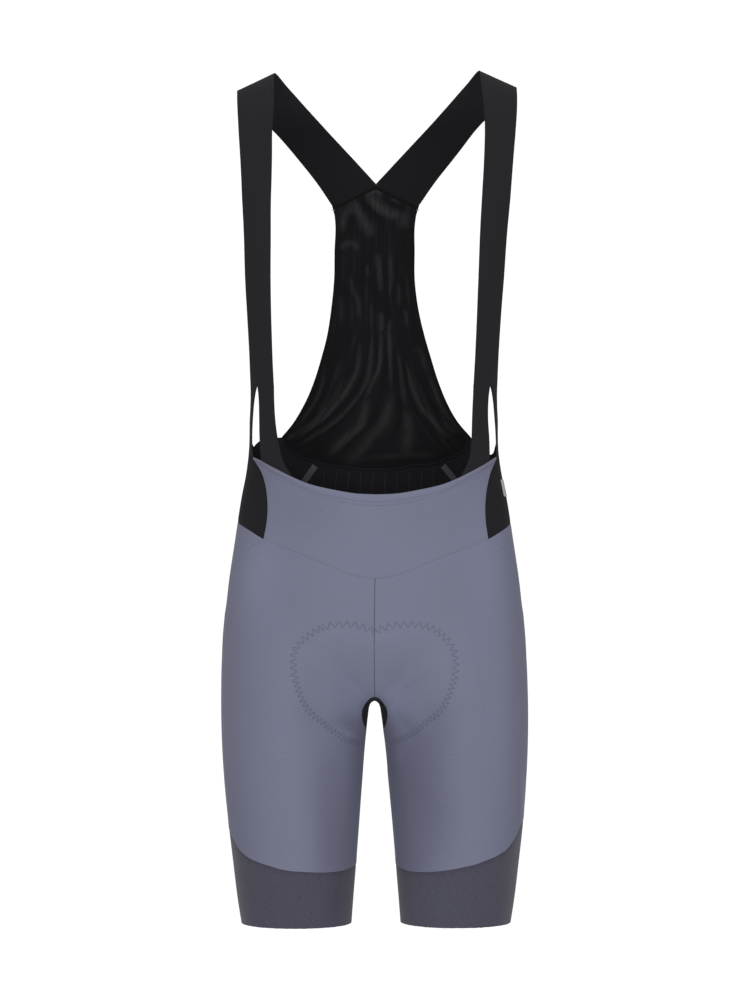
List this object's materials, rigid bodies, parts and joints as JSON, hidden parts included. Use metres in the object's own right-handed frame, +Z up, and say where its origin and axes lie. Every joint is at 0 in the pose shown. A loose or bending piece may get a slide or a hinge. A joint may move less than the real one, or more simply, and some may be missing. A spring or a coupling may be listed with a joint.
{
  "type": "cycling bib shorts",
  "caption": "Close-fitting cycling shorts with a high waist, shoulder straps that join over a mesh back, and wide leg grippers, hollow in their worn shape.",
  "frame": {"origin": "midway between the two shoulders, under the straps where the wearer holds the garment up", "axes": "+Z up, -Y the way the garment faces, +X towards the wearer's left"},
  "size_m": [0.3316, 0.2289, 0.9185],
  "materials": {
    "slate_knit": "smooth warp knit with a slight sheen",
    "gripper_knit": "matte woven elastic",
    "black_knit": "smooth matte knit",
    "black_mesh": "fine open mesh",
    "strap_knit": "smooth raw-cut elastic",
    "bonding_tape": "satin tape",
    "reflective_film": "reflective film"
  },
  "bodies": {
    "root": {"front_yoke": "slate_knit", "leg_front_left": "slate_knit", "leg_front_right": "slate_knit", "leg_back_left": "slate_knit", "leg_back_right": "slate_knit", "crotch_gusset": "black_knit", "leg_gripper_left": "gripper_knit", "leg_gripper_right": "gripper_knit", "side_panel_left": "black_knit", "side_panel_right": "black_knit", "lower_back_panel": "black_knit", "back_mesh": "black_mesh", "mesh_binding_left": "black_knit", "mesh_binding_right": "black_knit", "back_seam_band": "black_knit", "strap_left": "strap_knit", "strap_right": "strap_knit", "back_tape_left": "bonding_tape", "back_tape_right": "bonding_tape", "side_tab": "reflective_film"}
  },
  "joints": []
}
